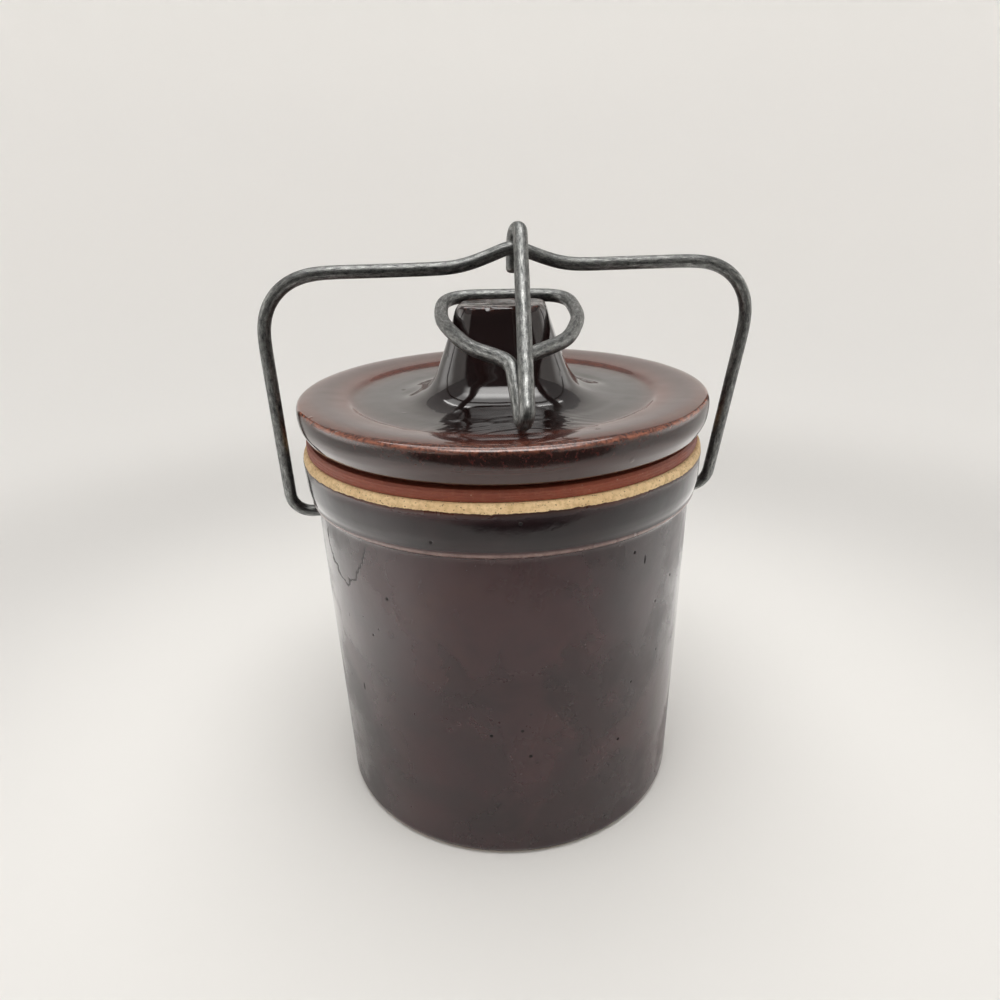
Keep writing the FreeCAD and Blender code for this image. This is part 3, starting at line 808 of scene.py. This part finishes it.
def lid_material():
    m = Mat("lid_glaze_finish")
    big = m.noise(30, 3, 0.5)
    mid = m.noise(150, 4, 0.6)
    col = m.ramp(big, [(0.3, (0.0075, 0.0050, 0.0048)), (0.6, (0.013, 0.0065, 0.0058)), (0.8, (0.019, 0.0075, 0.0062))])
    ring = m.attr("thin_ring")
    edge = m.attr("thin_edge_and_highlight")
    post = m.attr("post")
    knob = m.attr("knob_edge_and_glint")
    shade_and_speckle_band = m.attr("shade_and_speckle_band")
    under = m.attr("under")
    fleck = m.noise(880, 4, 0.78)
    speck = m.noise(1500, 3, 0.7)
    # raised ring, warmer than the dish
    rr = m.xyz()
    rad = m.math("SQRT", m.math("ADD", m.math("POWER", rr[0], 2), m.math("POWER", rr[1], 2)))
    raised = m.remap(rad, 0.0365, 0.0405)
    col = m.mix(m.math("MULTIPLY", raised, 0.8), col, (0.050, 0.0175, 0.0140))
    glow = m.math("MULTIPLY", ring, m.remap(mid, 0.25, 0.65, 0.55, 1))
    col = m.mix(m.math("MULTIPLY", glow, 0.75), col, (0.135, 0.040, 0.026))
    # the rim's arris: thin glaze, lightened in flecks as a painted highlight
    burn_and_highlight = m.math("MULTIPLY", edge, m.remap(fleck, 0.40, 0.57, 0.10, 0.95))
    col = m.mix(burn_and_highlight, col, (0.30, 0.105, 0.060))
    # the rim's face: painted shade, darkened to near black for the dark reflection it shows, with real black and
    # red-brown speckle
    col = m.mix(m.math("MULTIPLY", shade_and_speckle_band, 0.7), col, (0.006, 0.003, 0.003))
    sp = m.math("MULTIPLY", shade_and_speckle_band, m.remap(m.noise(1100, 4, 0.8), 0.53, 0.64))
    col = m.mix(m.math("MULTIPLY", sp, 0.75), col, (0.085, 0.022, 0.018))
    # the knob's top edge: thin glaze, lightened in flecks as a painted glint
    knob_glint = m.math("MULTIPLY", knob, m.remap(fleck, 0.45, 0.60))
    col = m.mix(m.math("MULTIPLY", knob_glint, 0.8), col, (0.16, 0.055, 0.035))
    col = m.mix(m.math("MULTIPLY", post, 0.5), col, (0.011, 0.0055, 0.0060))
    # underside: the seat and hollow are thinly glazed brown
    col = m.mix(m.math("MULTIPLY", under, 0.8), col, (0.060, 0.024, 0.013))
    rough = m.remap(m.noise(70, 4, 0.6), 0.3, 0.7, 0.05, 0.12)
    rough = m.math("ADD", rough, m.math("MULTIPLY", m.math("MULTIPLY", shade_and_speckle_band, speck), 0.16))
    h = m.math("ADD", m.math("MULTIPLY", m.noise(180, 2, 0.5), 0.5), m.math("MULTIPLY", m.math("MULTIPLY", speck, shade_and_speckle_band), 0.30))
    bits = m.voronoi(150)
    lot = m.remap(m.noise(55, 1, 0.5, vec=m.mapping(m.obj, loc=(9, 2, 1))), 0.50, 0.60)
    bead = m.math("MULTIPLY", m.remap(bits, 0.05, 0.11, 1, 0), lot)
    h = m.math("ADD", h, m.math("MULTIPLY", bead, 1.6))
    n = m.bump(h, 0.00010, 0.45)
    return m.set(Base_Color=col, Roughness=rough, Normal=n, IOR=1.66)


def rubber_material():
    m = Mat("ring_rubber_finish")
    a = m.noise(60, 4, 0.6)
    b = m.noise(800, 3, 0.7)
    col = m.ramp(a, [(0.3, (0.185, 0.038, 0.017)), (0.55, (0.24, 0.051, 0.023)), (0.8, (0.31, 0.074, 0.033))])
    col = m.mix(m.remap(b, 0.45, 0.75, 0, 0.35), col, (0.33, 0.12, 0.065))
    dust = m.voronoi(900)
    col = m.mix(m.math("MULTIPLY", m.remap(dust, 0.05, 0.12, 1, 0), m.remap(b, 0.5, 0.6)), col, (0.45, 0.30, 0.22))
    z = m.xyz()[2]
    lines = m.math("SINE", m.math("MULTIPLY", z, 2 * math.pi / 0.00055))
    h = m.math("ADD", m.math("MULTIPLY", b, 0.7), m.math("MULTIPLY", lines, 0.15))
    n = m.bump(h, 0.00008, 0.5)
    return m.set(Base_Color=col, Roughness=m.remap(a, 0.3, 0.7, 0.50, 0.68), Normal=n, IOR=1.5)


def wire_material():
    m = Mat("wire_finish")
    w = m.attr("along", vector=True)
    streak = m.noise(1, 4, 0.65, vec=m.mapping(w, scale=(520, 2400, 2400)))
    blotch = m.noise(1, 4, 0.65, vec=m.mapping(w, scale=(620, 1200, 1200)))
    grain = m.noise(1, 3, 0.75, vec=m.mapping(w, scale=(2300, 3600, 3600)))
    tone = m.math("ADD", m.math("MULTIPLY", streak, 0.42), m.math("MULTIPLY", blotch, 0.24))
    tone = m.math("ADD", tone, m.math("MULTIPLY", grain, 0.34))
    col = m.ramp(tone, [(0.40, (0.050, 0.053, 0.052)), (0.46, (0.125, 0.128, 0.125)), (0.53, (0.20, 0.203, 0.197)), (0.62, (0.40, 0.40, 0.39))])
    col = m.mix(m.remap(grain, 0.54, 0.68, 0, 0.75), col, (0.055, 0.058, 0.057))
    cut = m.attr("cut")
    col = m.mix(m.math("MULTIPLY", cut, 0.5), col, (0.30, 0.28, 0.26))
    rough = m.remap(tone, 0.38, 0.62, 0.42, 0.27)
    rough = m.math("ADD", rough, m.math("MULTIPLY", grain, 0.10))
    h = m.math("ADD", m.math("MULTIPLY", streak, 0.6), m.math("MULTIPLY", grain, 0.5))
    n = m.bump(h, 0.00010, 0.9)
    return m.set(Base_Color=col, Roughness=rough, Metallic=1.0, Normal=n)


jar.data.materials.append(jar_material())
lid.data.materials.append(lid_material())
seal.data.materials.append(rubber_material())
wm = wire_material()
bail.data.materials.append(wm)
lever.data.materials.append(wm)

for ob, body, node, slot in ((jar, "jar", "crock", "jar_glaze"), (seal, "jar", "sealing_ring", "ring_rubber"), (lid, "jar", "lid", "lid_glaze"),
                             (bail, "bail", "bail", "wire"), (lever, "lever", "lever", "wire")):
    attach(ob, body)
    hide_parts(node)


# ---------------------------------------------------------------- studio
def stage_material(name, col, rough=0.8):
    m = Mat(name)
    n = m.noise(9, 3, 0.5)
    c = m.mix(m.remap(n, 0.3, 0.7), tuple(v * 0.985 for v in col), col)
    return m.set(Base_Color=c, Roughness=rough, IOR=1.3)


def make_cove():
    path = rounded_path([(0.002, 0, 0), (0.30, 0, 0), (0.62, 0, 0.30), (0.66, 0.52, 0)], 4.0)
    th = np.linspace(0, 2 * math.pi, 128, endpoint=False)
    P = np.stack([path[:, 0][:, None] * np.cos(th), path[:, 0][:, None] * np.sin(th), path[:, 1][:, None] + 0 * th], -1) / MM
    ob = grid_object("cove", P, start=(0, 0, 0))
    # faces look inwards
    for p in ob.data.polygons:
        p.flip()
    m = Mat("pale_paper_painted_light")
    z = m.xyz()[2]
    x = m.xyz()
    far = m.math("SQRT", m.math("ADD", m.math("POWER", x[0], 2), m.math("POWER", x[1], 2)))
    # painted shade and light: the paper is darker in a ring round the object and paler further out and up the wall
    c = m.mix(m.remap(far, 0.10, 0.24), (0.78, 0.77, 0.75), (0.66, 0.651, 0.638))
    c = m.mix(m.remap(far, 0.24, 0.42), c, (0.85, 0.84, 0.825))
    c = m.mix(m.remap(z, 0.01, 0.14), c, (0.86, 0.845, 0.825))
    c = m.mix(m.remap(z, 0.20, 0.36), c, (0.88, 0.865, 0.84))
    # painted light: the paper itself glows, more strongly higher up
    glow = m.remap(z, -0.12, 0.46, 0.0, 0.155)
    ob.data.materials.append(m.set(Base_Color=c, Roughness=0.9, IOR=1.3, Emission_Color=(1.0, 0.985, 0.965, 1), Emission_Strength=glow))
    return ob


def sheet(name, size, place, target, shade=None, glow=0.0, lights=False):
    """A soft-edged studio sheet that only reflections see: it darkens (shade 0..1) or glows."""
    me = bpy.data.meshes.new(name)
    w, h = size[0] / 2, size[1] / 2
    me.from_pydata([(-w, -h, 0), (w, -h, 0), (w, h, 0), (-w, h, 0)], [], [(0, 1, 2, 3)])
    ob = bpy.data.objects.new(name, me)
    bpy.context.scene.collection.objects.link(ob)
    ob.location = place
    ob.rotation_mode = "QUATERNION"
    ob.rotation_quaternion = (Vector(place) - Vector(target)).to_track_quat("Z", "Y")
    m = Mat(name + "_sheet")
    v = m.xyz()
    inner = 0.34 if shade else 0.12
    fx = m.remap(m.math("ABSOLUTE", v[0]), inner * size[0], 0.5 * size[0], 1, 0)
    fy = m.remap(m.math("ABSOLUTE", v[1]), inner * size[1], 0.5 * size[1], 1, 0)
    f = m.math("MULTIPLY", fx, fy)
    clear = m.t.nodes.new("ShaderNodeBsdfTransparent")
    if shade:
        m.set(Base_Color=(0.012, 0.012, 0.013, 1), Roughness=0.9)
        join = m.t.nodes.new("ShaderNodeMixShader")
        m.put(join.inputs[0], m.math("MULTIPLY", f, shade))
        m.put(join.inputs[1], clear.outputs[0])
        m.put(join.inputs[2], m.p.outputs[0])
    else:
        m.t.nodes.remove(m.p)
        light = m.t.nodes.new("ShaderNodeEmission")
        light.inputs["Color"].default_value = (1.0, 0.985, 0.965, 1)
        m.put(light.inputs["Strength"], m.math("MULTIPLY", f, glow))
        join = m.t.nodes.new("ShaderNodeAddShader")
        m.put(join.inputs[0], clear.outputs[0])
        m.put(join.inputs[1], light.outputs[0])
    m.put(m.out.inputs[0], join.outputs[0])
    me.materials.append(m.m)
    ob.visible_camera = False
    ob.visible_diffuse = lights
    ob.visible_shadow = False
    return ob


def area(name, size, place, target, power, color=(1, 1, 1)):
    li = bpy.data.lights.new(name, "AREA")
    li.shape = "RECTANGLE"
    li.size, li.size_y = size
    li.energy = power
    li.color = color
    ob = bpy.data.objects.new(name, li)
    ob.location = place
    ob.rotation_mode = "QUATERNION"
    ob.rotation_quaternion = (Vector(place) - Vector(target)).to_track_quat("Z", "Y")
    bpy.context.scene.collection.objects.link(ob)
    ob.visible_camera = False
    return ob


make_cove()
sheet("low_flag", (0.56, 0.20), (-0.02, -0.202, 0.080), (-0.02, 0, 0.080), shade=0.97)
sheet("high_flag", (0.27, 0.38), (-0.03, -0.245, 0.30), (-0.03, 0, 0.24), shade=0.97)
world = bpy.data.worlds.new("studio")
bpy.context.scene.world = world
world.use_nodes = True
bg = world.node_tree.nodes["Background"]
bg.inputs["Color"].default_value = (1.0, 0.985, 0.96, 1)
bg.inputs["Strength"].default_value = 0.40
area("top_soft", (0.50, 0.42), (0.0, 0.05, 0.60), (0, 0, 0.1), 1.06, (1.0, 0.99, 0.975))
area("strip_back", (0.40, 0.02), (0.0, 0.20, 0.46), (0, 0, 0.1), 0.20, (1.0, 0.985, 0.965))
# soft-edged reflectors: what the glaze and the wires pick up
sheet("over_front", (0.44, 0.28), (0.0, -0.13, 0.46), (0, 0, 0.1), glow=5.6, lights=True)
sheet("side_left", (0.60, 0.44), (-0.50, 0.05, 0.22), (0, 0, 0.10), glow=1.7)
sheet("side_right", (0.60, 0.44), (0.50, 0.05, 0.22), (0, 0, 0.10), glow=1.2)
sheet("floor_left", (0.24, 0.44), (-0.165, 0.03, 0.003), (-0.165, 0.03, -1), glow=0.9)
sheet("floor_right", (0.24, 0.44), (0.165, 0.03, 0.003), (0.165, 0.03, -1), glow=0.65)
bpy.context.scene.view_settings.view_transform = "Standard"
